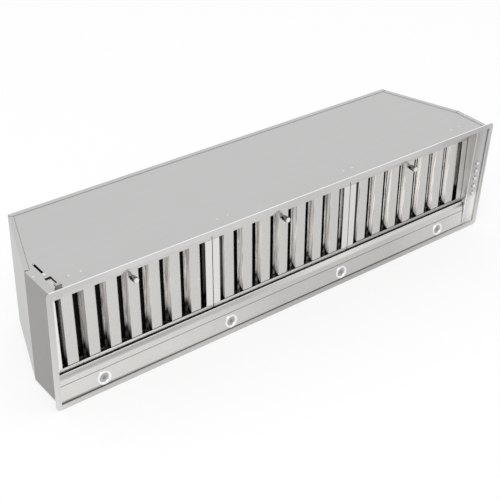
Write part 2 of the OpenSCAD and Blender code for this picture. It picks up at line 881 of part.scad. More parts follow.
module motor_shaft() {
    color(bright_steel) placed() rod_x(shaft_d, motor_x + motor_cap_h, mid_x + wheel_plate_t + hub_l,
        wheel_y, wheel_z);
}

module motor_body() {
    color(dark_steel) placed() difference() {
        union() {
            rod_x(motor_d, motor_x, motor_x + motor_l, wheel_y, wheel_z);
            rod_x(motor_cap_d, motor_x - motor_cap_h, motor_x + motor_l + motor_cap_h, wheel_y, wheel_z);
        }
        rod_x(shaft_d + 2 * run_gap, motor_x, motor_x + motor_l + motor_cap_h + over, wheel_y, wheel_z);
    }
}

module motor_bracket() {
    x0 = scroll_x - inlet_lip - motor_band_l;
    r0 = motor_d / 2 + motor_band_t / 2;
    r1 = inlet_d / 2 + arm_w;
    color(steel) placed() {
        difference() {
            rod_x(motor_d + 2 * motor_band_t, x0, x0 + motor_band_l, wheel_y, wheel_z);
            rod_x(motor_d, x0 - over, x0 + motor_band_l + over, wheel_y, wheel_z);
        }
        for (a = arm_angles) translate([x0, wheel_y, wheel_z]) rotate([a, 0, 0]) {
            translate([0, r0, -arm_w / 2]) cube([arm_t, r1 - r0, arm_w]);
            translate([0, r1 - arm_t, -arm_w / 2])
                cube([scroll_x - scroll_t - x0, arm_t, arm_w]);
        }
    }
}

// Duct collar and flaps
module duct_collar() {
    color(steel) placed() difference() {
        union() {
            rod_y(duct_d, body_d, body_d + duct_h, mid_x, mid_z);
            rod_y(duct_d + 2 * duct_base_w, body_d, body_d + collar_t, mid_x, mid_z);
        }
        rod_y(duct_hole_d, body_d - over, body_d + duct_h + over, mid_x, mid_z);
        rod_x(flap_rod_d + 2 * run_gap, mid_x - duct_r - over, mid_x + duct_r + over, flap_rod_y, mid_z);
    }
}

module flap_rod() {
    color(bright_steel) placed() rod_x(flap_rod_d, mid_x - duct_r + fit_gap, mid_x + duct_r - fit_gap,
        flap_rod_y, mid_z);
}

// One flap: a half disc that hangs on the rod by its own knuckles
module flap(first) {
    r = duct_r - collar_t - flap_gap;
    difference() {
        union() {
            along_y(-knuckle_d / 2, flap_t - knuckle_d / 2) difference() {
                intersection() {
                    circle(r = r);
                    translate([-r, 0]) square([2 * r, r]);
                }
                for (i = [0 : 2 * knuckle_n - 1]) if (i % 2 != first)
                    translate([knuckle_from(i) - knuckle_gap, -over])
                        square([knuckle_l + 2 * knuckle_gap, knuckle_d / 2 + knuckle_gap + over]);
                translate([-r - over, -over]) square([2 * r + 2 * over, flap_gap + over]);
            }
            for (i = [first : 2 : 2 * knuckle_n - 1]) {
                rod_x(knuckle_d, knuckle_from(i), knuckle_from(i) + knuckle_l, 0, 0);
                translate([knuckle_from(i), -knuckle_d / 2, 0])
                    cube([knuckle_l, flap_t, knuckle_d]);
            }
        }
        rod_x(flap_rod_d + 2 * run_gap, -r, r, 0, 0);
    }
}

function knuckle_from(i) = (i - knuckle_n) * (knuckle_l + 2 * knuckle_gap) + knuckle_gap;

module rear_flap() {
    color(bright_steel) placed() translate([mid_x, flap_rod_y, mid_z]) flap(0);
}

module front_flap() {
    color(bright_steel) placed() translate([mid_x, flap_rod_y, mid_z]) mirror([0, 0, 1]) flap(1);
}

// Wiring
module junction_box() {
    y0 = body_d - sheet_t - junction_d;
    z0 = mid_z - junction_w / 2;
    color(steel) placed() difference() {
        translate([wiring_x, y0, z0]) cube([junction_l, junction_d, junction_w]);
        translate([wiring_x + box_t, y0 - over, z0 + box_t])
            cube([junction_l - 2 * box_t, junction_d - box_t + over, junction_w - 2 * box_t]);
        rod_y(entry_d, y0, body_d, entry_x, mid_z);
    }
}

module junction_cover() {
    color(steel) placed() translate([wiring_x - box_t, body_d - sheet_t - junction_d - box_t,
        mid_z - junction_w / 2 - box_t]) cube([junction_l + 2 * box_t, box_t, junction_w + 2 * box_t]);
}

module cable_gland() {
    inside = body_d - sheet_t - box_t;
    color(black) placed() difference() {
        union() {
            rod_y(entry_d - 2 * run_gap, inside - gland_nut_h, body_d + gland_h, entry_x, mid_z);
            translate([entry_x, body_d + gland_nut_h, mid_z]) rotate([90, 0, 0])
                cylinder(d = gland_hex, h = gland_nut_h, $fn = 6);
            translate([entry_x, inside, mid_z]) rotate([90, 0, 0])
                cylinder(d = gland_hex, h = gland_nut_h, $fn = 6);
        }
        rod_y(gland_bore_d, inside - gland_nut_h - over, body_d + gland_h + over, entry_x, mid_z);
    }
}

module capacitor() {
    x = capacitor_x;
    y1 = body_d - sheet_t;
    color("#d8d8d4") placed() {
        rod_y(capacitor_d, y1 - capacitor_l, y1 - strap_t, x, mid_z);
        rod_y(terminal_d, y1 - capacitor_l - terminal_l, y1 - capacitor_l, x, mid_z);
        translate([x - capacitor_d / 2, y1 - strap_t, mid_z - strap_l / 2])
            cube([strap_w, strap_t, strap_l]);
    }
}

module led_driver() {
    y1 = body_d - sheet_t;
    color(black) placed() translate([driver_x, y1 - driver_d, mid_z - driver_w / 2]) {
        cube([driver_l, driver_d, driver_w]);
        translate([-driver_ear, driver_d - ear_t, 0])
            cube([driver_l + 2 * driver_ear, ear_t, driver_w]);
    }
}

// Clamp and rivets
module clamp() {
    x0 = clamp_x - clamp_w / 2;
    color(bright_steel) placed() difference() {
        union() {
            translate([x0, clamp_y, clamp_floor]) cube([clamp_w, clamp_t, clamp_drop + clamp_out]);
            translate([x0, clamp_y, clamp_floor]) cube([clamp_w, carriage_l, clamp_t]);
            translate([x0, clamp_y, high_z + clamp_out - clamp_t]) cube([clamp_w, foot_l, clamp_t]);
            along_z(guide_z, guide_z + guide_t) translate([clamp_x - guide_w / 2, clamp_y])
                polygon([[0, guide_cut], [guide_w, clamp_t], [guide_w, guide_l], [0, guide_l]]);
            along_z(guide_z, guide_z + guide_t) translate([clamp_x + guide_w / 2 - clamp_t, clamp_y])
                square([clamp_t, guide_l]);
        }
        rod_y(screw_d + 2 * fit_gap, clamp_y - over, clamp_y + clamp_t + over, clamp_x, screw_z);
    }
}

module clamp_bracket() {
    from = slot_y - bracket_margin;
    to = slot_y + slot_l + bracket_margin;
    color(steel) placed() difference() {
        along_x(clamp_x - bracket_w / 2, clamp_x + bracket_w / 2)
            polygon(folded([[to, clamp_floor], [to, in_high], [from, in_high], [from, clamp_floor]], sheet_t));
        rod_y(screw_d + 2 * run_gap, from - over, to + over, clamp_x, screw_z);
        translate([clamp_x - guide_w / 2 - fit_gap, from - over, guide_z - fit_gap])
            cube([guide_w + 2 * fit_gap, sheet_t + 2 * over, guide_t + 2 * fit_gap]);
        translate([clamp_x - slot_w / 2, slot_y, in_high - sheet_t - over])
            cube([slot_w, slot_l, sheet_t + 2 * over]);
    }
}

module clamp_screw() {
    color(dark_steel) placed() {
        rod_y(screw_d, screw_y, slot_y + slot_l + bracket_margin + sheet_t, clamp_x, screw_z);
        rod_y(screw_head_d, screw_y - screw_head_h, screw_y, clamp_x, screw_z);
    }
}

module rivet(x, y, out, grip) {
    rod_z(rivet_d - 2 * run_gap, out - grip, out, x, y);
    rod_z(rivet_head_d, out, out + rivet_head_h, x, y);
}

module rivets() {
    color(bright_steel) placed() {
        for (side = [0, 1]) translate([0, 0, side * flange_w]) mirror([0, 0, side]) {
            for (x = rim_rivets()) rivet(x, rim_rivet_y, high_z, 2 * sheet_t);
            for (m = [0, 1]) translate([m * flange_l, 0, 0]) mirror([m, 0, 0])
                rivet(end_x + lip_w / 2, lip_rivet_y, high_z + sheet_t, sheet_t);
        }
        for (x = rail_rivets()) rivet(x, rail_rivet_y, high_z, 2 * sheet_t);
        translate([0, 0, flange_w]) mirror([0, 0, 1])
            for (x = rail_rivets()) rivet(x, channel_rivet_y, high_z, 2 * sheet_t);
    }
}

flange_frame();
rear_wall();
front_wall();
left_end_panel();
right_end_panel();
left_duct_panel();
duct_plate();
right_duct_panel();
light_panel();
lamp_channel();
lamp_bezels();
lamp_lenses();
lamp_bodies();
rear_filter_rail();
catch_springs();
filter_frame(0);  // filter_1_frame
front_baffles(0);  // filter_1_front_baffles
rear_baffles(0);  // filter_1_rear_baffles
filter_knob(0);  // filter_1_knob
filter_frame(1);  // filter_2_frame
front_baffles(1);  // filter_2_front_baffles
rear_baffles(1);  // filter_2_rear_baffles
filter_knob(1);  // filter_2_knob
filter_frame(2);  // filter_3_frame
front_baffles(2);  // filter_3_front_baffles
rear_baffles(2);  // filter_3_rear_baffles
filter_knob(2);  // filter_3_knob
control_panel();
control_cover();
switch_bank();
button_rings();
control_board();
push_button(0);  // button_1
push_button(1);  // button_2
push_button(2);  // button_3
push_button(3);  // button_4
push_button(4);  // button_5
scroll_band();
scroll_side_left();
scroll_side_right();
outlet_plate();
blower_wheel();
motor_shaft();
motor_body();
motor_bracket();
duct_collar();
flap_rod();
front_flap();
rear_flap();
capacitor();
junction_box();
junction_cover();
cable_gland();
led_driver();
clamp();
clamp_bracket();
clamp_screw();
rivets();
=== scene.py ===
"""Looks of the range hood insert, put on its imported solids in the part's own frame.

The solids stay where the frame has them. This script gives them their finishes, lays softened
copies over the folded sheets, grows the baffles and rivet heads, and adds a few thin seams."""

import json
import math

import bmesh
import bpy
from mathutils import Matrix, Vector

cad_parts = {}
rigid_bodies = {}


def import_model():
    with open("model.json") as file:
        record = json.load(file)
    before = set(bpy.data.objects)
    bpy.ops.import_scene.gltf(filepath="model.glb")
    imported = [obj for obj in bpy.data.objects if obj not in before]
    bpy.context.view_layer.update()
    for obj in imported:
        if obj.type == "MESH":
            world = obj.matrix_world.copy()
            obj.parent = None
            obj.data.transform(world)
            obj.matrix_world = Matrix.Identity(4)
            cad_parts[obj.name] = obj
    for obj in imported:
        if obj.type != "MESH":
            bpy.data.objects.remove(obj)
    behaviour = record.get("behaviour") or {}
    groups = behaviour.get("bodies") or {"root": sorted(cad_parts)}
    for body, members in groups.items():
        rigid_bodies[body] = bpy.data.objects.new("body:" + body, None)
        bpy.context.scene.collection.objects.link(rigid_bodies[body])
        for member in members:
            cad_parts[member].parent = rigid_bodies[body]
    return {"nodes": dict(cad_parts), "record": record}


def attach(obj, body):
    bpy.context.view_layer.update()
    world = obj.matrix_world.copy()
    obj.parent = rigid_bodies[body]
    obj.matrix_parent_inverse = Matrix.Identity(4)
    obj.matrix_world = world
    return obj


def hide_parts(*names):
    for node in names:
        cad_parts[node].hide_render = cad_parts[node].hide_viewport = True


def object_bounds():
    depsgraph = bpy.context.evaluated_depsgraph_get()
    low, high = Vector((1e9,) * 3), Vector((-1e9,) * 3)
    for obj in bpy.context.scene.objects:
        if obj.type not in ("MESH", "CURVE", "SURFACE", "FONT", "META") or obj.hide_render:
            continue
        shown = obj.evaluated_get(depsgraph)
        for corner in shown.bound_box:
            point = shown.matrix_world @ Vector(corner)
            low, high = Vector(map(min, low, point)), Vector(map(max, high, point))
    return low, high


MM = 0.001

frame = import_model()
cad_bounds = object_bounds()
nodes = frame["nodes"]
slot_of = {p["node"]: p["material_slot"] for p in frame["record"]["subparts"]}

# Sizes of the insert in millimetres, from the flange's lower left corner at the front.
# The frame's own origin lies at MIDDLE_X, MIDDLE_Y.
MIDDLE_X = 582.5
MIDDLE_Y = 163.5
HIGH_Z = 262.8  # outer face of the long wall on top
LOW_Z = 9.7  # outer face of the long wall on the underside
TAPER_X = 9.7  # where the left end panel starts to taper
TAPER_Y = 98.0
TAPER_IN = 68.0  # how far it comes in over its tapering length
TAPER_LONG = 189.0

FILTER_PITCH = 368.233
FILTER_X = 12.8
FILTER_Y = 18.9
FILTER_Z = 71.5
FILTER_W = 366.633
FILTER_H = 167.98
FILTER_LEAN = math.radians(-3.3)

# Baffles, from the lower left corner of their own filter
SHEET = 0.8
ROW_END = 1.5  # left free above and below the channels
ROW_DEPTH = 11.6
SLAT_W = 25.5
SLAT_X = 28.4
SLAT_PITCH = 47.389
SLAT_BEND = 2.2
REAR_W = 33.889
REAR_X = 34.4
REAR_Y = 19.2
REAR_BEND = 2.0
REAR_TRIM = 2.49  # the first and last rear channel are this much narrower
# Width of a rear channel's hollow, next to the leg, that carries the leg's look: a painted
# reflection of the leg
REAR_SHOWN = (9.0, 6.5, 5.5)  # what shows of a rear channel's hollow in filters 1, 2 and 3

LAMP_X = 108.0
LAMP_Z = 30.0
LAMP_PITCH = 307.17

# Rivets on both long walls: along the flange's collar, in pairs on the rail and the lamp
# channel behind the filters' edges, and on the end panels' lips
COLLAR_RIVETS = [58.0] + [170.5 + i * 155.917 for i in range(7)]
COLLAR_RIVET_Y = 10.5
PAIRED_RIVETS = [81.5 + i * 334 + side * 12.8 for i in range(4) for side in (-1, 1)]
RAIL_RIVET_Y = 42
LAMP_CHANNEL_RIVET_Y = 47
LIP_RIVETS = [14.7, 1150.3]
LIP_RIVET_Y = 74
LIP_SHEET = 1  # the lips lie on the long walls

# Rounding of the edges
WALL_EDGE = 0.3
PANEL_EDGE = 0.4
FRAME_EDGE = 0.25
KNOB_EDGE = 0.6


def fit(x, y, z):
    """A point given from the flange's lower left corner, in millimetres."""
    return Vector((x - MIDDLE_X, y - MIDDLE_Y, z)) * MM


def placed(name, data):
    """A new object of the scene."""
    made = bpy.data.objects.new(name, data)
    bpy.context.scene.collection.objects.link(made)
    return made


# Camera


def make_camera():
    """The photograph's viewing angle, worked out from the insert's own straight edges."""
    data = bpy.data.cameras.new("photo_camera")
    data.sensor_width = 36.0
    data.lens = 77.17
    data.shift_y = 0.1
    data.clip_start = 0.05
    data.clip_end = 60.0
    camera = placed("photo_camera", data)
    right = Vector((0.78361369, -0.62021678, 0.03578719))
    up = Vector((0.34340406, 0.48043919, 0.80700176))
    back = Vector((-0.5177096, -0.62008816, 0.58946369))
    turn = Matrix((right, up, back)).transposed().to_4x4()
    camera.matrix_world = Matrix.Translation((-1.26986, -1.53796, 1.37341)) @ turn
    bpy.context.scene.camera = camera


# Helpers for node trees


class NodeTree:
    """Adds nodes to a tree. An input takes a socket, which is linked, or a plain value."""

    def __init__(self, tree):
        self.tree = tree

    def add(self, kind, inputs=(), **settings):
        made = self.tree.nodes.new(kind)
        for key, value in settings.items():
            setattr(made, key, value)
        for key, value in dict(inputs).items():
            if isinstance(value, bpy.types.NodeSocket):
                self.tree.links.new(value, made.inputs[key])
            else:
                made.inputs[key].default_value = value
        return made

    def math(self, operation, a, b=0.0):
        return self.add("ShaderNodeMath", {0: a, 1: b}, operation=operation).outputs[0]

    def times(self, first, *others):
        """The product of all that is given."""
        for other in others:
            first = self.math("MULTIPLY", first, other)
        return first

    def between(self, value, low, high, start=0.0, end=1.0):
        """Low where the value is at start, high where it is at end, and held beyond them."""
        return self.add("ShaderNodeMapRange", {
            "Value": value, "From Min": start, "From Max": end, "To Min": low, "To Max": high,
        }).outputs["Result"]

    def split(self, vector):
        """The X, Y and Z of a vector."""
        return self.add("ShaderNodeSeparateXYZ", {0: vector}).outputs


class Shader(NodeTree):
    """One material, painted by the place of the point in the part's own frame."""

    def __init__(self, name):
        self.mat = bpy.data.materials.new(name)
        self.mat.use_nodes = True
        super().__init__(self.mat.node_tree)
        self.bsdf = self.tree.nodes["Principled BSDF"]
        self.coords = self.add("ShaderNodeTexCoord").outputs["Object"]

    def place(self):
        """X, Y and Z of the point, in metres from the frame's origin."""
        return self.split(self.coords)

    def scaled(self, scale):
        return self.add("ShaderNodeMapping", {"Vector": self.coords, "Scale": scale}).outputs[0]

    def noise(self, scale, detail=3.0, rough=0.55):
        return self.add("ShaderNodeTexNoise", {
            "Vector": self.scaled(scale), "Scale": 1.0, "Detail": detail, "Roughness": rough,
        }).outputs["Fac"]

    def spread(self, noise, low, high):
        """The middle of a noise's range, where nearly all of it lies, spread from low to high."""
        return self.between(noise, low, high, 0.3, 0.7)

    def rise(self, value, start, end):
        """0 before the start and 1 past the end, both in millimetres."""
        return self.between(value, 0.0, 1.0, start * MM, end * MM)

    def ramp(self, value, stops):
        """Straight lines through (position, level) pairs, levels between 0 and 2."""
        low, high = stops[0][0], stops[-1][0]
        made = self.add("ShaderNodeValToRGB", {0: self.between(value, 0.0, 1.0, low, high)})
        points = made.color_ramp.elements
        while len(points) < len(stops):
            points.new(0.5)
        for point, (at, level) in zip(points, stops):
            point.position = (at - low) / (high - low)
            point.color = (level / 2, level / 2, level / 2, 1.0)
        return self.times(made.outputs[0], 2.0)

    def choice(self, share, a, b):
        """A where the share is 0 and b where it is 1."""
        return self.add("ShaderNodeMix", {0: share, 2: a, 3: b}).outputs[0]

    def link(self, socket, key):
        self.tree.links.new(socket, self.bsdf.inputs[key])

    def tint(self, colour, factor):
        """Paints the colour times a grey factor that comes from a socket."""
        grey = self.add("ShaderNodeCombineColor", {0: factor, 1: factor, 2: factor}).outputs[0]
        mix = self.add("ShaderNodeMix", {"Factor": 1.0}, data_type="RGBA", blend_type="MULTIPLY")
        mix.inputs["A"].default_value = (*colour, 1.0)
        self.tree.links.new(grey, mix.inputs["B"])
        self.link(mix.outputs["Result"], "Base Color")

    def set(self, **values):
        """Values that are the same all over."""
        for key, value in values.items():
            self.bsdf.inputs[key.replace("_", " ")].default_value = value

    def surface(self, colour, factor, rough, relief, depth, **values):
        """The material with its colour, roughness, relief and even values."""
        self.tint(colour, factor)
        self.link(rough, "Roughness")
        bump = self.add("ShaderNodeBump", {"Height": relief, "Distance": depth, "Strength": 0.3})
        self.link(bump.outputs[0], "Normal")
        self.set(**values)
        return self.mat


class Grower(NodeTree):
    """Builds one Geometry Nodes group with named inputs and grows plain meshes from it."""

    def __init__(self, name, **inputs):
        super().__init__(bpy.data.node_groups.new(name, "GeometryNodeTree"))
        sockets = self.tree.interface
        sockets.new_socket("Geometry", in_out="INPUT", socket_type="NodeSocketGeometry")
        sockets.new_socket("Geometry", in_out="OUTPUT", socket_type="NodeSocketGeometry")
        kinds = {int: "NodeSocketInt", float: "NodeSocketFloat", tuple: "NodeSocketVector"}
        self.ids = {}
        for label, value in inputs.items():
            kind = kinds.get(type(value), "NodeSocketMaterial")
            made = sockets.new_socket(label, in_out="INPUT", socket_type=kind)
            if value is not None:
                made.default_value = value
            self.ids[label] = made.identifier
        self.entry = self.tree.nodes.new("NodeGroupInput")
        self.exit = self.tree.nodes.new("NodeGroupOutput")

    def given(self, label):
        return self.entry.outputs[label]

    def node(self, kind, inputs=(), **settings):
        """The first output of a new node."""
        return self.add(kind, inputs, **settings).outputs[0]

    def vector(self, x=0.0, y=0.0, z=0.0):
        return self.node("ShaderNodeCombineXYZ", {0: x, 1: y, 2: z})

    def painted(self, geometry, label, selection=True):
        return self.node("GeometryNodeSetMaterial", {
            "Geometry": geometry, "Selection": selection, "Material": self.given(label)})

    def merged(self, geometry):
        return self.node("GeometryNodeMergeByDistance",
                         {"Geometry": geometry, "Distance": 0.00001})

    def joined(self, *parts):
        made = self.tree.nodes.new("GeometryNodeJoinGeometry")
        for part in parts:
            self.tree.links.new(part, made.inputs[0])
        return made.outputs[0]

    def done(self, geometry):
        self.tree.links.new(geometry, self.exit.inputs[0])

    def grow(self, name, points=(), **values):
        """A plain mesh object grown from the group and, where it needs them, from points."""
        seed = bpy.data.meshes.new(name + "_points")
        seed.from_pydata([tuple(p) for p in points], [], [])
        piece = placed(name, seed)
        layer = piece.modifiers.new("grown", "NODES")
        layer.node_group = self.tree
        for label, value in values.items():
            layer[self.ids[label]] = value
        graph = bpy.context.evaluated_depsgraph_get()
        grown = bpy.data.meshes.new_from_object(piece.evaluated_get(graph))
        piece.modifiers.clear()
        piece.data = grown
        grown.name = name
        bpy.data.meshes.remove(seed)
        return piece


# Finishes


GRAIN = {"x": (5, 1100, 1100), "y": (1100, 5, 1100), "z": (1100, 1100, 5)}
LATHE = {"x": (2600, 300, 300), "y": (300, 2600, 300), "z": (300, 300, 2600)}


def along_x(*stops):
    """Stops of a ramp, in millimetres from the flange's left end."""
    return [((x - MIDDLE_X) * MM, level) for x, level in stops]


def in_mm(*stops):
    """Stops of a ramp over a height or a depth, in millimetres."""
    return [(at * MM, level) for at, level in stops]


def brushed(name, colour, rough, grain="x", contrast=0.05, depth=0.00002, painted_shading=None, metal=1.0):
    """Steel sheet with a fine grain, cloudy polish and slight variation in its gloss.

    Painted shading is a function of the shader that paints light and shade over the
    sheet as a slow change of its colour."""
    s = Shader(name)
    fine = s.noise(GRAIN[grain], 4.0, 0.6)
    band = s.noise(tuple(v / 9 for v in GRAIN[grain]), 2.0)
    cloud = s.noise((7, 7, 7), 3.0)
    factor = s.math("ADD", s.spread(fine, -contrast, contrast), s.spread(cloud, 0.985, 1.015))
    factor = s.math("ADD", factor, s.spread(band, -contrast / 2, contrast / 2))
    # Painted light and shade, where the sheet has them
    if painted_shading:
        factor = s.times(factor, painted_shading(s))
    gloss = s.math("ADD", s.spread(fine, -0.05, 0.05), s.spread(cloud, rough - 0.02, rough + 0.03))
    return s.surface(colour, factor, gloss, fine, depth, Metallic=metal)


def rim_painted_shading(s):
    """Painted light and shade on the trim flange: paler at both ends below, paler in the left
    half above.

    A darker line on its right side is painted shade at the fold of the hem."""
    x, _, z = s.place()
    below = s.ramp(x, along_x((0, 1.34), (30, 1.12), (110, 1.03), (400, 1.06), (560, 0.91),
                              (760, 0.86), (900, 0.91), (1020, 1.04), (1110, 1.15), (1165, 1.3)))
    above = s.ramp(x, along_x((0, 1.05), (90, 1.1), (160, 1.24), (450, 1.2), (570, 1.1),
                              (880, 1.22), (960, 1.09), (1020, 0.96), (1140, 0.96), (1158, 1.1),
                              (1165, 1.05)))
    level = s.choice(s.rise(z, 20, 262), below, above)
    # Painted shade along the hem's fold
    fold = s.times(s.ramp(x, along_x((1157.4, 0.0), (1158.8, 1.0), (1160.2, 1.0), (1161.6, 0.0))),
                   s.ramp(z, in_mm((30, 0.0), (90, 0.8), (150, 1.0), (205, 1.0), (235, 0.0))))
    return s.times(level, s.between(fold, 1.0, 0.57))


def light_panel_painted_shading(s):
    """Painted light and shade on the light panel: its nose is dark on the left and brightest
    past the middle.

    Its foot, next to the flange, gets painted shade, and its right end a painted shadow
    where it meets the control panel."""
    x, _, z = s.place()
    flat = s.ramp(x, along_x((12, 1.13), (262, 1.1), (345, 1.07), (480, 0.98), (569, 0.91),
                             (876, 0.91), (960, 1.01), (1040, 1.05), (1110, 1.17)))
    nose = s.ramp(x, along_x((12, 0.84), (80, 0.79), (262, 0.77), (340, 0.9), (450, 0.8),
                             (569, 1.0), (650, 1.16), (760, 1.14), (876, 1.01), (1080, 1.02),
                             (1096, 0.78), (1106, 0.5), (1116, 0.3)))
    # Painted shade along the foot, darkest on the left
    foot = s.ramp(x, along_x((12, 0.4), (100, 0.55), (160, 0.69), (262, 0.77), (340, 0.87),
                             (569, 0.95), (1116, 0.95)))
    # Painted shadow in the gap to the control panel
    right_end_shadow = s.ramp(x, along_x((1112.5, 1.0), (1114.6, 0.7), (1115.6, 0.3), (1117.0, 0.25)))
    return s.times(s.choice(s.rise(z, 61.5, 64), flat, nose),
                   s.choice(s.rise(z, 15.5, 18.5), foot, 1.0), right_end_shadow)


def control_painted_shading(s):
    """Painted light and shade on the control panel: grey behind the buttons, pale below them
    and towards its right edge, and paler on its narrow left side.
    """
    x, _, z = s.place()
    up = s.ramp(z, in_mm((12, 1.15), (30, 1.37), (45, 1.47), (75, 1.46), (88, 1.27), (100, 1.0),
                         (145, 0.97), (165, 0.9), (205, 0.88), (260, 0.82)))
    return s.times(up, s.ramp(x, along_x((1116.8, 1.38), (1117.8, 1.38), (1118.6, 0.84),
                                         (1124, 0.88), (1148, 1.15), (1155, 1.2))))


def frame_painted_shading(s):
    """Painted light and shade on the filter frames: darker bar on top, pale side strips, lower
    bar darker to the right.
    """
    x, _, z = s.place()
    low = s.ramp(x, along_x((12, 1.13), (120, 1.16), (220, 1.02), (290, 0.94), (363, 0.78),
                            (401, 0.93), (480, 0.93), (570, 0.89), (740, 0.86), (780, 0.6),
                            (840, 0.68), (930, 0.68), (1075, 0.76), (1099, 0.65), (1115, 0.65)))
    high = s.ramp(x, along_x((12, 0.84), (500, 0.89), (620, 0.83), (740, 0.9), (770, 0.83),
                             (1000, 0.78), (1115, 0.72)))
    side = s.ramp(x, along_x((12, 1.17), (380, 1.1), (1095, 1.07), (1101, 0.86), (1117, 0.82)))
    return s.choice(s.rise(z, 230.2, 230.8), s.choice(s.rise(z, 79.8, 80.2), low, side), high)


def rolled_leg(name):
    """A baffle's leg, seen through the slots, with painted light and shade. Its shading normal
    is turned towards the front, so it mirrors the room.

    Streaks run along it. Painted shade darkens it towards its foot and deeper in, and painted
    light makes it palest on the right. In the slots beside the side strips it is painted
    dark, a painted shade. In the last slot it is matt and painted grey above a painted black
    shade at its foot. Next to the legs, the rear channels' hollows carry it as a painted
    reflection of the leg."""
    s = Shader(name)
    x, y, z = s.place()
    streak = s.noise((420, 420, 7), 3.0, 0.6)
    fine = s.noise((300, 1500, 30), 2.0)
    # How deep the point lies behind the baffles' front, which leans back as it goes up
    front_at_floor, front_slope = 0.1479, 0.0577
    depth = s.math("SUBTRACT", s.math("ADD", y, front_at_floor), s.times(z, front_slope))

    # Painted light: palest on the right
    level = s.ramp(x, along_x((30, 0.2), (90, 0.33), (180, 0.42), (250, 0.5), (700, 0.52),
                              (780, 0.58), (860, 0.74), (1100, 0.84)))
    # Painted shade: darker towards the foot and deeper in
    left_foot = s.ramp(z, in_mm((74, 0.02), (94, 0.16), (116, 0.9), (160, 1.05), (235, 0.85)))
    right_foot = s.ramp(z, in_mm((74, 0.1), (86, 0.5), (108, 0.95), (160, 1.05), (235, 0.85)))
    level = s.times(level, s.choice(s.rise(x, -250, -150), left_foot, right_foot),
                    s.ramp(depth, in_mm((0, 1.12), (4, 1.04), (11.6, 0.78), (12.8, 1.0),
                                        (20, 1.0))))
    # Painted shade in the slots beside the side strips
    beside_strips = s.ramp(x, along_x((364, 0.0), (366, 1.0), (412, 1.0), (414, 0.0), (766, 0.0),
                                      (768, 1.0), (780.5, 1.0), (782.5, 0.0)))
    strip_slot_shade = s.times(beside_strips, s.rise(depth, 3.5, 5))
    level = s.times(level, s.between(strip_slot_shade, 1.0, 0.1))

    # Painted grey in the last slot, with a painted black shade at its foot
    last_slot = s.rise(x, 521.5, 522.2)
    grey = s.times(s.between(z, 0.0, 0.5, 0.104, 0.111),
                   s.between(depth, 0.05, 1.0, 0.0124, 0.0134))
    level = s.choice(last_slot, level, grey)
    calm = s.between(x, 0.5, 1.0, 0.45, 0.25)
    level = s.times(level, s.choice(calm, s.between(streak, 0.75, 1.12, 0.35, 0.6),
                                    s.between(streak, 0.45, 1.5, 0.35, 0.65)),
                    s.spread(fine, 0.92, 1.08))

    s.tint((1.0, 0.95, 0.912), level)
    s.link(s.spread(streak, 0.2, 0.3), "Roughness")
    towards_front = (-0.62, -0.785, 0.0)
    rolled = s.add("ShaderNodeVectorTransform", {0: towards_front}, vector_type="NORMAL",
                   convert_from="OBJECT", convert_to="WORLD").outputs[0]
    s.link(rolled, "Normal")
    s.link(s.between(last_slot, 1.0, 0.0), "Metallic")
    return s.mat


def zinc(name, colour, rough):
    """Zinc coated sheet with its crystal pattern."""
    s = Shader(name)
    cells = s.add("ShaderNodeTexVoronoi", {"Vector": s.scaled((90, 90, 90)), "Scale": 1.0})
    crystal = s.add("ShaderNodeRGBToBW", {"Color": cells.outputs["Color"]}).outputs[0]
    cloud = s.noise((12, 12, 12), 4.0)
    factor = s.math("ADD", s.between(crystal, -0.08, 0.08), s.spread(cloud, 0.93, 1.05))
    gloss = s.math("ADD", s.between(crystal, -0.08, 0.08), s.between(cloud, rough, rough + 0.06))
    return s.surface(colour, factor, gloss, cloud, 0.0001, Metallic=1.0)


def turned(name, colour, rough, axis="y"):
    """Lathe turned metal: rings round the axis show as a fine pattern along it."""
    s = Shader(name)
    rings = s.noise(LATHE[axis], 3.0)
    cloud = s.noise((60, 60, 60), 2.0)
    factor = s.math("ADD", s.spread(rings, -0.05, 0.05), s.spread(cloud, 0.94, 1.04))
    gloss = s.spread(rings, rough - 0.04, rough + 0.06)
    return s.surface(colour, factor, gloss, rings, 0.00002, Metallic=1.0)


def plastic(name, colour, rough, grain=900):
    """Moulded plastic, or sprayed paint, with a fine spark texture."""
    s = Shader(name)
    spark = s.noise((grain, grain, grain), 3.0)
    cloud = s.noise((25, 25, 25), 3.0)
    factor = s.math("ADD", s.spread(spark, -0.06, 0.06), s.spread(cloud, 0.92, 1.08))
    return s.surface(colour, factor, s.spread(spark, rough - 0.06, rough + 0.08), spark, 0.00005)


def cast(name, colour, rough):
    """Die cast metal with its gritty skin."""
    s = Shader(name)
    grit = s.noise((700, 700, 700), 5.0, 0.7)
    cloud = s.noise((60, 60, 60), 3.0)
    factor = s.math("ADD", s.spread(grit, -0.1, 0.1), s.spread(cloud, 0.9, 1.1))
    gloss = s.spread(grit, rough - 0.08, rough + 0.1)
    return s.surface(colour, factor, gloss, grit, 0.0001, Metallic=0.9)


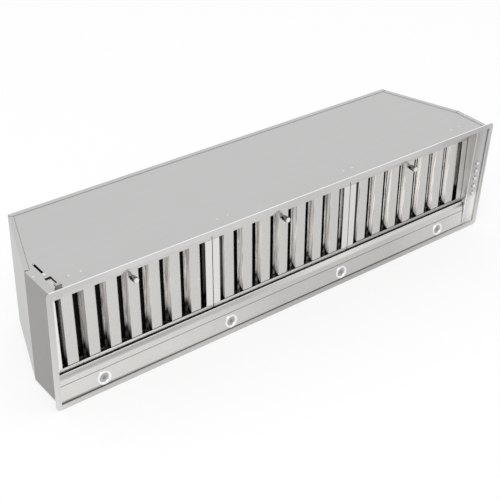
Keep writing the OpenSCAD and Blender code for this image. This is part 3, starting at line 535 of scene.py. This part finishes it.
def frosted_lens(name):
    """Opal lens: dark where the lamp's chip sits behind it and paler towards its edge."""
    s = Shader(name)
    grain = s.noise((1500, 1500, 1500), 2.0)
    cloud = s.noise((90, 90, 90), 2.0)
    x, _, z = s.place()
    pitch = LAMP_PITCH * MM
    count = s.math("DIVIDE", s.math("SUBTRACT", x, (LAMP_X - MIDDLE_X) * MM), pitch)
    dx = s.times(s.math("SUBTRACT", count, s.math("ROUND", count)), pitch)
    dz = s.math("SUBTRACT", z, LAMP_Z * MM)
    from_middle = s.math("SQRT", s.math("ADD", s.times(dx, dx), s.times(dz, dz)))
    level = s.times(s.ramp(from_middle, in_mm((0, 0.18), (3, 0.2), (4.6, 0.34), (8, 0.4),
                                              (10.2, 0.52))),
                    s.spread(cloud, 0.94, 1.06))
    return s.surface((1.0, 1.0, 1.01), level, s.spread(grain, 0.3, 0.42), grain, 0.00003,
                     Coat_Weight=0.3, Coat_Roughness=0.1)


def lacquered_board(name):
    """Circuit board with the weave of its laminate under green lacquer."""
    s = Shader(name)
    weave = s.noise((1200, 1200, 1200), 2.0)
    cloud = s.noise((140, 140, 140), 2.0)
    factor = s.math("ADD", s.spread(weave, -0.1, 0.1), s.spread(cloud, 0.85, 1.15))
    return s.surface((0.02, 0.12, 0.05), factor, s.spread(cloud, 0.22, 0.34), weave, 0.00002,
                     Coat_Weight=0.6, Coat_Roughness=0.15)


# One finish for each material slot of the record
MATERIALS = {
    "wall_steel": brushed("wall_steel", (0.55, 0.55, 0.548), 0.4, "x", 0.02),
    "light_panel_steel": brushed("light_panel_steel", (0.65, 0.635, 0.62), 0.3, "x", 0.03,
                                 painted_shading=light_panel_painted_shading),
    "control_steel": brushed("control_steel", (0.598, 0.587, 0.577), 0.3, "z", 0.025,
                             painted_shading=control_painted_shading),
    "filter_frame_steel": brushed("filter_frame_steel", (0.725, 0.713, 0.698), 0.24, "z", 0.015,
                                  painted_shading=frame_painted_shading),
    "baffle_steel": brushed("baffle_steel", (0.643, 0.63, 0.615), 0.26, "z", 0.008, 0.000005),
    "knob_steel": turned("knob_steel", (0.42, 0.4, 0.39), 0.24),
    "button_metal": turned("button_metal", (0.84, 0.83, 0.82), 0.25),
    "button_ring_metal": turned("button_ring_metal", (0.5, 0.49, 0.48), 0.2),
    "bezel_chrome": turned("bezel_chrome", (0.95, 0.95, 0.95), 0.26),
    "lamp_glass": frosted_lens("lamp_glass"),
    "cast_heat_sink": cast("cast_heat_sink", (0.36, 0.36, 0.37), 0.45),
    "zinc_sheet": zinc("zinc_sheet", (0.56, 0.57, 0.575), 0.36),
    "spring_steel": brushed("spring_steel", (0.6, 0.59, 0.57), 0.25, "x", 0.03),
    "wheel_zinc": zinc("wheel_zinc", (0.5, 0.51, 0.52), 0.38),
    "ground_steel": turned("ground_steel", (0.62, 0.62, 0.62), 0.18, "x"),
    "motor_paint": plastic("motor_paint", (0.03, 0.03, 0.032), 0.36, 500),
    "flap_aluminium": brushed("flap_aluminium", (0.74, 0.74, 0.75), 0.34, "x", 0.04),
    "capacitor_plastic": plastic("capacitor_plastic", (0.66, 0.66, 0.63), 0.45),
    "black_plastic": plastic("black_plastic", (0.018, 0.018, 0.02), 0.5),
    "board_laminate": lacquered_board("board_laminate"),
    "screw_steel": turned("screw_steel", (0.55, 0.55, 0.54), 0.3),
    "rivet_steel": turned("rivet_steel", (0.7, 0.7, 0.695), 0.28, "z"),
}

# Finishes that only some faces of a piece have, many of them painted with light or shade,
# and those of the added seams
LOOKS = {
    "rim_steel": brushed("rim_steel", (0.553, 0.545, 0.535), 0.36, "x", 0.02, painted_shading=rim_painted_shading),
    # Painted highlight along the flange's upper edge
    "rim_edge": brushed("rim_edge", (0.93, 0.925, 0.92), 0.3, "x", 0.01),
    # The end panels' straight and tapering parts: copies of the wall steel painted darker by the
    # light they get, the straight part much darker
    "end_steel": brushed("end_steel", (0.33, 0.317, 0.312), 0.36, "z", 0.02),
    "taper_steel": brushed("taper_steel", (0.5, 0.496, 0.493), 0.36, "z", 0.02),
    "rolled_leg": rolled_leg("rolled_leg"),
    # Painted highlight: the knobs' front ends, brighter than their side
    "knob_end": turned("knob_end", (0.84, 0.835, 0.83), 0.2),
    # Painted highlight on the flat top of the light panel's nose
    "nose_top": brushed("nose_top", (0.9, 0.885, 0.87), 0.5, "x", 0.02, metal=0.05),
    "seam_shadow": brushed("seam_shadow", (0.06, 0.058, 0.056), 0.45, "x", 0.01),
    "foot_steel": brushed("foot_steel", (0.5, 0.495, 0.49), 0.55, "x", 0.03),
    "guide_steel": brushed("guide_steel", (0.64, 0.62, 0.605), 0.36, "x", 0.02),
    # Near black: painted shade in the baffles' hollows, on the rear channels' legs and on the
    # clamp's carriage
    "slot_dark": brushed("slot_dark", (0.009, 0.0085, 0.008), 0.4, "z", 0.005),
}


def paint_nodes():
    """Gives each CAD node the finish of its material slot."""
    for name, obj in nodes.items():
        obj.data.materials.clear()
        obj.data.materials.append(MATERIALS[slot_of[name]])


# Light


def make_world():
    """Even white light, a little dimmer low in front so that sloping steel shows its fold."""
    world = bpy.data.worlds.new("studio")
    bpy.context.scene.world = world
    world.use_nodes = True
    w = NodeTree(world.node_tree)
    x, y, z = w.split(w.add("ShaderNodeTexCoord").outputs["Generated"])
    low_front = w.times(w.between(y, 0.0, 1.0, -0.25, -0.6), w.between(z, 0.0, 1.0, 0.05, 0.3))
    across = w.between(x, 0.72, 1.05, 0.42, 0.66)
    level = w.math("ADD", w.times(low_front, w.math("SUBTRACT", across, 1.0)), 1.0)
    seen = w.add("ShaderNodeLightPath").outputs["Is Camera Ray"]
    background = w.tree.nodes["Background"].inputs
    w.tree.links.new(w.math("MAXIMUM", level, seen), background["Strength"])
    background["Color"].default_value = (1.0, 1.0, 1.0, 1.0)


def make_floor():
    """White sweep: it glows for the camera and for mirrored rays, and takes a soft shadow."""
    half = 9.0
    just_below = 0.0002
    mesh = bpy.data.meshes.new("floor")
    mesh.from_pydata([(-half, -half, 0), (half, -half, 0), (half, half, 0), (-half, half, 0)],
                     [], [(0, 1, 2, 3)])
    floor = placed("floor", mesh)
    floor.matrix_world = Matrix.Translation((0, 0, cad_bounds[0][2] - just_below))
    s = Shader("pale_floor")
    s.set(Base_Color=(0.93, 0.93, 0.93, 1.0), Roughness=0.9, Specular_IOR_Level=0.0)
    paths = s.add("ShaderNodeLightPath").outputs
    dimmer_right = s.between(s.place()[0], 1.0, 0.84, -0.35, 0.6)
    glow = s.add("ShaderNodeEmission", {
        "Color": (1.0, 1.0, 1.0, 1.0),
        "Strength": s.math("MAXIMUM", dimmer_right, paths["Is Camera Ray"])})
    rays = s.math("MAXIMUM", paths["Is Camera Ray"], paths["Is Glossy Ray"])
    rays = s.math("MAXIMUM", rays, paths["Is Transmission Ray"])
    mix = s.add("ShaderNodeMixShader", {
        0: s.times(rays, 0.7), 1: s.bsdf.outputs[0], 2: glow.outputs[0]})
    s.tree.links.new(mix.outputs[0], s.tree.nodes["Material Output"].inputs["Surface"])
    mesh.materials.append(s.mat)


def make_key_lamp():
    """One large soft lamp, high up in front on the left."""
    data = bpy.data.lights.new("key_lamp", "AREA")
    data.shape = "RECTANGLE"
    data.size = data.size_y = 2.0
    data.energy = 32
    place = Vector((-1.5, -1.9, 2.8))
    aim = (Vector((0.0, 0.0, 0.1)) - place).to_track_quat("-Z", "Y")
    lamp = placed("key_lamp", data)
    lamp.matrix_world = Matrix.Translation(place) @ aim.to_matrix().to_4x4()


# Folded sheets and turned parts with softened edges


def finish_piece(piece, body, slot, *stands_for):
    """Says which body carries the piece and which nodes it stands for. Slot is not used."""
    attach(piece, body)
    if stands_for:
        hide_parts(*stands_for)


def shade(piece, degrees):
    """Smooth shading with sharp edges above an angle."""
    piece.data.shade_smooth()
    piece.data.set_sharp_from_angle(angle=math.radians(degrees))


def softened(node, width, body="housing", materials=None, choose=None):
    """A copy of a node with its outer edges rounded by a width in millimetres.

    It stands for the node. With more than one material, choose gives each face's number."""
    mesh = nodes[node].data.copy()
    mesh.name = node + "_soft"
    work = bmesh.new()
    work.from_mesh(mesh)
    bmesh.ops.remove_doubles(work, verts=work.verts, dist=0.000002)
    bmesh.ops.dissolve_limit(work, angle_limit=math.radians(0.6),
                             verts=work.verts, edges=work.edges)
    bmesh.ops.recalc_face_normals(work, faces=work.faces)
    work.to_mesh(mesh)
    work.free()
    mesh.materials.clear()
    for mat in materials or [MATERIALS[slot_of[node]]]:
        mesh.materials.append(mat)
    if choose:
        for face in mesh.polygons:
            face.material_index = choose(face)
    piece = placed(node + "_soft", mesh)
    edge = piece.modifiers.new("soft_edges", "BEVEL")
    edge.width = width * MM
    edge.segments = 2
    edge.limit_method = "ANGLE"
    edge.angle_limit = math.radians(35)
    edge.harden_normals = True
    shade(piece, 35)
    finish_piece(piece, body, slot_of[node], node)


def nose_part(face):
    """1 for the flat top of the light panel's nose, 0 for the rest."""
    # The flat top gets a painted highlight
    return int(face.normal.z > 0.95 and face.center.z > 0.06)


def rim_part(face):
    """1 for the flange's upper edge, 0 for the rest."""
    # The upper edge gets a painted highlight
    return int(face.normal.z > 0.9 and face.center.z > 0.27)


def end_part(face):
    """0 for the lips over the long walls, 1 for the straight part, 2 for the tapering one."""
    # The straight and the tapering part get darker copies of the wall steel: painted shade
    if abs(face.normal.z) > 0.7 or face.center.z > HIGH_Z * MM:
        return 0
    return 2 if abs(face.normal.y) > 0.2 else 1


def knob_part(face):
    """1 for a pull knob's front end, 0 for its side."""
    # The front end gets a painted highlight
    return int(face.normal.y < -0.9)


def clamp_part(face):
    """0 for the carriage under the wall, 1 for the foot and its front, 2 for the guide plate."""
    # The carriage gets the near-black painted shade
    if face.center.z > 0.2612 or face.normal.y < -0.9:
        return 1
    return 2 if face.normal.z > 0.9 and face.center.z > 0.258 else 0


def soften_sheets():
    """The folded sheets, the filters' frames and knobs and the clamp."""
    for node, width in (("rear_wall", WALL_EDGE), ("front_wall", WALL_EDGE),
                        ("duct_plate", PANEL_EDGE), ("left_duct_panel", PANEL_EDGE),
                        ("right_duct_panel", PANEL_EDGE), ("control_panel", WALL_EDGE)):
        softened(node, width)
    softened("light_panel", WALL_EDGE, choose=nose_part,
             materials=[MATERIALS["light_panel_steel"], LOOKS["nose_top"]])
    softened("flange_frame", PANEL_EDGE, choose=rim_part,
             materials=[LOOKS["rim_steel"], LOOKS["rim_edge"]])
    for node in ("left_end_panel", "right_end_panel"):
        softened(node, PANEL_EDGE, choose=end_part,
                 materials=[MATERIALS["wall_steel"], LOOKS["end_steel"], LOOKS["taper_steel"]])
    for k in (1, 2, 3):
        softened(f"filter_{k}_frame", FRAME_EDGE, f"filter_{k}")
        softened(f"filter_{k}_knob", KNOB_EDGE, f"filter_{k}", choose=knob_part,
                 materials=[MATERIALS["knob_steel"], LOOKS["knob_end"]])
    softened("clamp", WALL_EDGE, "clamp", choose=clamp_part,
             materials=[LOOKS["slot_dark"], LOOKS["foot_steel"], LOOKS["guide_steel"]])


# Baffles


def channel_group():
    """Folded sheet channels in a row: each has two legs, rounded bends and a real thickness.

    The first and last one can be trimmed, and the row can be turned to open the other way.
    Face is the material of the channel's outside, leg that of its legs' outer sides, inside
    that of its hollow, and deep that of the hollow's part up to the width called shaded."""
    g = Grower("channel_row", count=7, pitch=0.05, width=0.025, depth=0.012, sheet=0.0008,
               bend=0.002, length=0.16, trim=0.0, start=(0.0, 0.0, 0.0), turn=(0.0, 0.0, 0.0),
               lean=(0.0, 0.0, 0.0), place=(0.0, 0.0, 0.0), shaded=0.012, face=None, leg=None,
               inside=None, deep=None)
    index = g.node("GeometryNodeInputIndex")

    # The profile has five points: two for each leg, and one in the face where the shade ends
    x = g.math("ADD", g.times(g.math("GREATER_THAN", index, 2.5), g.given("width")),
               g.times(g.math("COMPARE", index, 2.0), g.given("shaded")))
    leg_end = g.math("GREATER_THAN", g.math("ABSOLUTE", g.math("SUBTRACT", index, 2.0)), 1.5)
    line = g.node("GeometryNodeMeshLine", {"Count": 5})
    path = g.node("GeometryNodeSetPosition", {
        "Geometry": line, "Position": g.vector(x, g.times(leg_end, g.given("depth")))})
    bent = g.node("GeometryNodeFilletCurve", {
        "Curve": g.node("GeometryNodeMeshToCurve", {0: path}), "Count": 5,
        "Radius": g.given("bend"), "Limit Radius": True}, mode="POLY")
    # The middle point lies on a straight line, so its empty fillet is merged away again
    edges = g.merged(g.node("GeometryNodeCurveToMesh", {"Curve": bent}))

    # The profile is drawn up to a web, and the web gets its thickness
    web = g.node("GeometryNodeExtrudeMesh", {
        "Mesh": edges, "Offset": g.vector(0.0, 0.0, 1.0),
        "Offset Scale": g.given("length")}, mode="EDGES")
    thick = g.add("GeometryNodeExtrudeMesh", {
        "Mesh": web, "Offset Scale": g.given("sheet"), "Individual": False}, mode="FACES").outputs
    inner = g.painted(g.painted(thick["Mesh"], "face"), "inside", thick["Top"])
    spot = g.split(g.node("GeometryNodeInputPosition"))[0]
    shaded = g.times(g.math("LESS_THAN", spot, g.given("shaded")), thick["Top"])
    inner = g.painted(inner, "deep", shaded)
    across = g.math("ABSOLUTE", g.split(g.node("GeometryNodeInputNormal"))[0])
    outer = g.painted(g.node("GeometryNodeFlipFaces", {"Mesh": web}), "face")
    outer = g.painted(outer, "leg", g.math("GREATER_THAN", across, 0.6))
    channel = g.merged(g.joined(inner, outer))

    # One channel stands on each point of the row
    row = g.node("GeometryNodeMeshLine", {
        "Count": g.given("count"), "Start Location": g.given("start"),
        "Offset": g.vector(g.given("pitch"))})
    first = g.math("COMPARE", index, 0.0)
    last = g.math("COMPARE", index, g.math("SUBTRACT", g.given("count"), 1.0))
    shift = g.vector(g.times(last, g.times(g.given("trim"), -1.0)))
    points = g.node("GeometryNodeSetPosition", {"Geometry": row, "Offset": shift})
    narrower = g.times(g.math("ADD", first, last),
                       g.math("DIVIDE", g.given("trim"), g.given("width")))
    copies = g.node("GeometryNodeInstanceOnPoints", {
        "Points": points, "Instance": channel, "Rotation": g.given("turn"),
        "Scale": g.vector(g.math("SUBTRACT", 1.0, narrower), 1.0, 1.0)})
    real = g.node("GeometryNodeRealizeInstances", {0: copies})
    g.done(g.node("GeometryNodeTransform", {
        "Geometry": real, "Rotation": g.given("lean"), "Translation": g.given("place")}))
    return g


def filter_corner(k):
    """The lower left corner of filter 0, 1 or 2."""
    return fit(FILTER_X + k * FILTER_PITCH, FILTER_Y, FILTER_Z)


def make_baffles():
    """Seven channels in front and eight behind them, opening towards each other."""
    rows = channel_group()
    # Hollows and rear legs get near-black painted shade; front legs and the rear hollows beside
    # them get the leg's painted light and shade
    steel, dark, leg = MATERIALS["baffle_steel"], LOOKS["slot_dark"], LOOKS["rolled_leg"]
    for k in range(3):
        name = f"filter_{k + 1}"
        same = {"pitch": SLAT_PITCH * MM, "sheet": SHEET * MM, "depth": ROW_DEPTH * MM,
                "length": (FILTER_H - 2 * ROW_END) * MM, "lean": (FILTER_LEAN, 0.0, 0.0),
                "place": tuple(filter_corner(k)), "face": steel, "inside": dark}
        front = rows.grow(name + "_front_channels", count=7, width=SLAT_W * MM,
                          bend=SLAT_BEND * MM, start=(SLAT_X * MM, SHEET * MM, ROW_END * MM),
                          leg=leg, deep=dark, **same)
        shade(front, 50)
        finish_piece(front, name, "baffle_steel", name + "_front_baffles")
        rear = rows.grow(name + "_rear_channels", count=8, width=REAR_W * MM,
                         bend=REAR_BEND * MM, trim=REAR_TRIM * MM,
                         start=(REAR_X * MM, REAR_Y * MM, ROW_END * MM), turn=(0.0, 0.0, math.pi),
                         shaded=REAR_SHOWN[k] * MM, leg=dark, deep=leg, **same)
        shade(rear, 50)
        finish_piece(rear, name, "baffle_steel", name + "_rear_baffles")


# Rivets


def rivet_group():
    """Domed rivet heads with a shank, one on each point.

    Side is 1 for heads on top, whose shank goes down, and -1 for heads on the underside."""
    g = Grower("rivet_row", radius=0.0028, height=0.001, shank=0.00154, grip=0.002, side=1.0,
               metal=None)
    ball = g.node("GeometryNodeMeshUVSphere", {
        "Segments": 20, "Rings": 10, "Radius": g.given("radius")})
    flat = g.vector(1.0, 1.0, g.math("DIVIDE", g.given("height"), g.given("radius")))
    head = g.node("GeometryNodeTransform", {"Geometry": ball, "Scale": flat})
    pin = g.node("GeometryNodeMeshCylinder", {
        "Vertices": 16, "Radius": g.given("shank"), "Depth": g.given("grip")})
    drop = g.times(g.given("grip"), -0.5, g.given("side"))
    pin = g.node("GeometryNodeTransform", {
        "Geometry": pin, "Translation": g.vector(0.0, 0.0, drop)})
    copies = g.node("GeometryNodeInstanceOnPoints", {
        "Points": g.given("Geometry"), "Instance": g.joined(head, pin)})
    g.done(g.painted(g.node("GeometryNodeRealizeInstances", {0: copies}), "metal"))
    return g


def make_rivets():
    """The heads on both long walls, as one piece."""
    group = rivet_group()
    rows = []
    for side, z, pair_y in ((1.0, HIGH_Z, RAIL_RIVET_Y), (-1.0, LOW_Z, LAMP_CHANNEL_RIVET_Y)):
        points = [fit(x, COLLAR_RIVET_Y, z) for x in COLLAR_RIVETS]
        points += [fit(x, pair_y, z) for x in PAIRED_RIVETS]
        points += [fit(x, LIP_RIVET_Y, z + side * LIP_SHEET) for x in LIP_RIVETS]
        rows.append(group.grow(f"rivets_{len(rows)}", points, side=side,
                               metal=MATERIALS["rivet_steel"]))
    upper, lower = rows
    work = bmesh.new()
    work.from_mesh(upper.data)
    work.from_mesh(lower.data)
    work.to_mesh(upper.data)
    work.free()
    bpy.data.objects.remove(lower)
    upper.name = "rivet_heads"
    shade(upper, 50)
    finish_piece(upper, "housing", "rivet_steel", "rivets")


# Seams and beads


def bead(name, body, slot, mat, low, high, turn=None):
    """A thin closed bar between two corners, in metres, turned into its place if asked."""
    mesh = bpy.data.meshes.new(name)
    work = bmesh.new()
    bmesh.ops.create_cube(work, size=1.0)
    for vert in work.verts:
        vert.co = Vector([low[i] if vert.co[i] < 0 else high[i] for i in range(3)])
        if turn:
            vert.co = turn @ vert.co
    work.to_mesh(mesh)
    work.free()
    mesh.materials.append(mat)
    finish_piece(placed(name, mesh), body, slot)


def make_seams():
    """Thin dark lines where sheets meet, a bead under each filter and the slot's stop."""
    shadow = LOOKS["seam_shadow"]
    steel = MATERIALS["filter_frame_steel"]
    bead("light_panel_seam", "housing", "light_panel_steel", shadow,
         fit(12.6, 5.75, 50.7), fit(1116.4, 6.6, 51.4))

    strip = 17.2  # the filter's side strip
    lean = Matrix.Rotation(FILTER_LEAN, 4, "X")
    for k in range(3):
        name = f"filter_{k + 1}"
        turn = Matrix.Translation(filter_corner(k)) @ lean
        bead(name + "_slat_seam", name, "filter_frame_steel", shadow,
             Vector((strip, 0.1, 8.1)) * MM, Vector((FILTER_W - strip, 0.9, 8.7)) * MM, turn)
        bead(name + "_lower_edge", name, "filter_frame_steel", steel,
             Vector((0.4, 0.0, -4.2)) * MM, Vector((FILTER_W - 0.4, 1.2, 0.0)) * MM, turn)

    # The seam of the left end panel's lip, over the tapering part, and the notch at its start
    taper = Matrix.Rotation(-math.atan2(TAPER_IN, TAPER_LONG), 4, "Z")
    taper = Matrix.Translation(fit(TAPER_X, TAPER_Y, 0)) @ taper
    for name, low_x, low_y, high_x, high_y in (("left_lip_seam", 10.0, 2.0, 10.6, 190.8),
                                               ("left_lip_notch", 0.6, 1.2, 10.6, 2.0)):
        bead(name, "housing", "wall_steel", shadow, Vector((low_x, low_y, HIGH_Z)) * MM,
             Vector((high_x, high_y, HIGH_Z + 0.9)) * MM, taper)
    # The slot's stop has the brighter steel of the knobs' ends, a painted highlight
    bead("slot_stop", "housing", "wall_steel", LOOKS["knob_end"],
         fit(33.0, 66.5, 262.6), fit(36.4, 74.0, 263.4))


bpy.context.scene.view_settings.view_transform = "Standard"
make_camera()
make_world()
make_floor()
make_key_lamp()
paint_nodes()
make_baffles()
soften_sheets()
make_rivets()
make_seams()
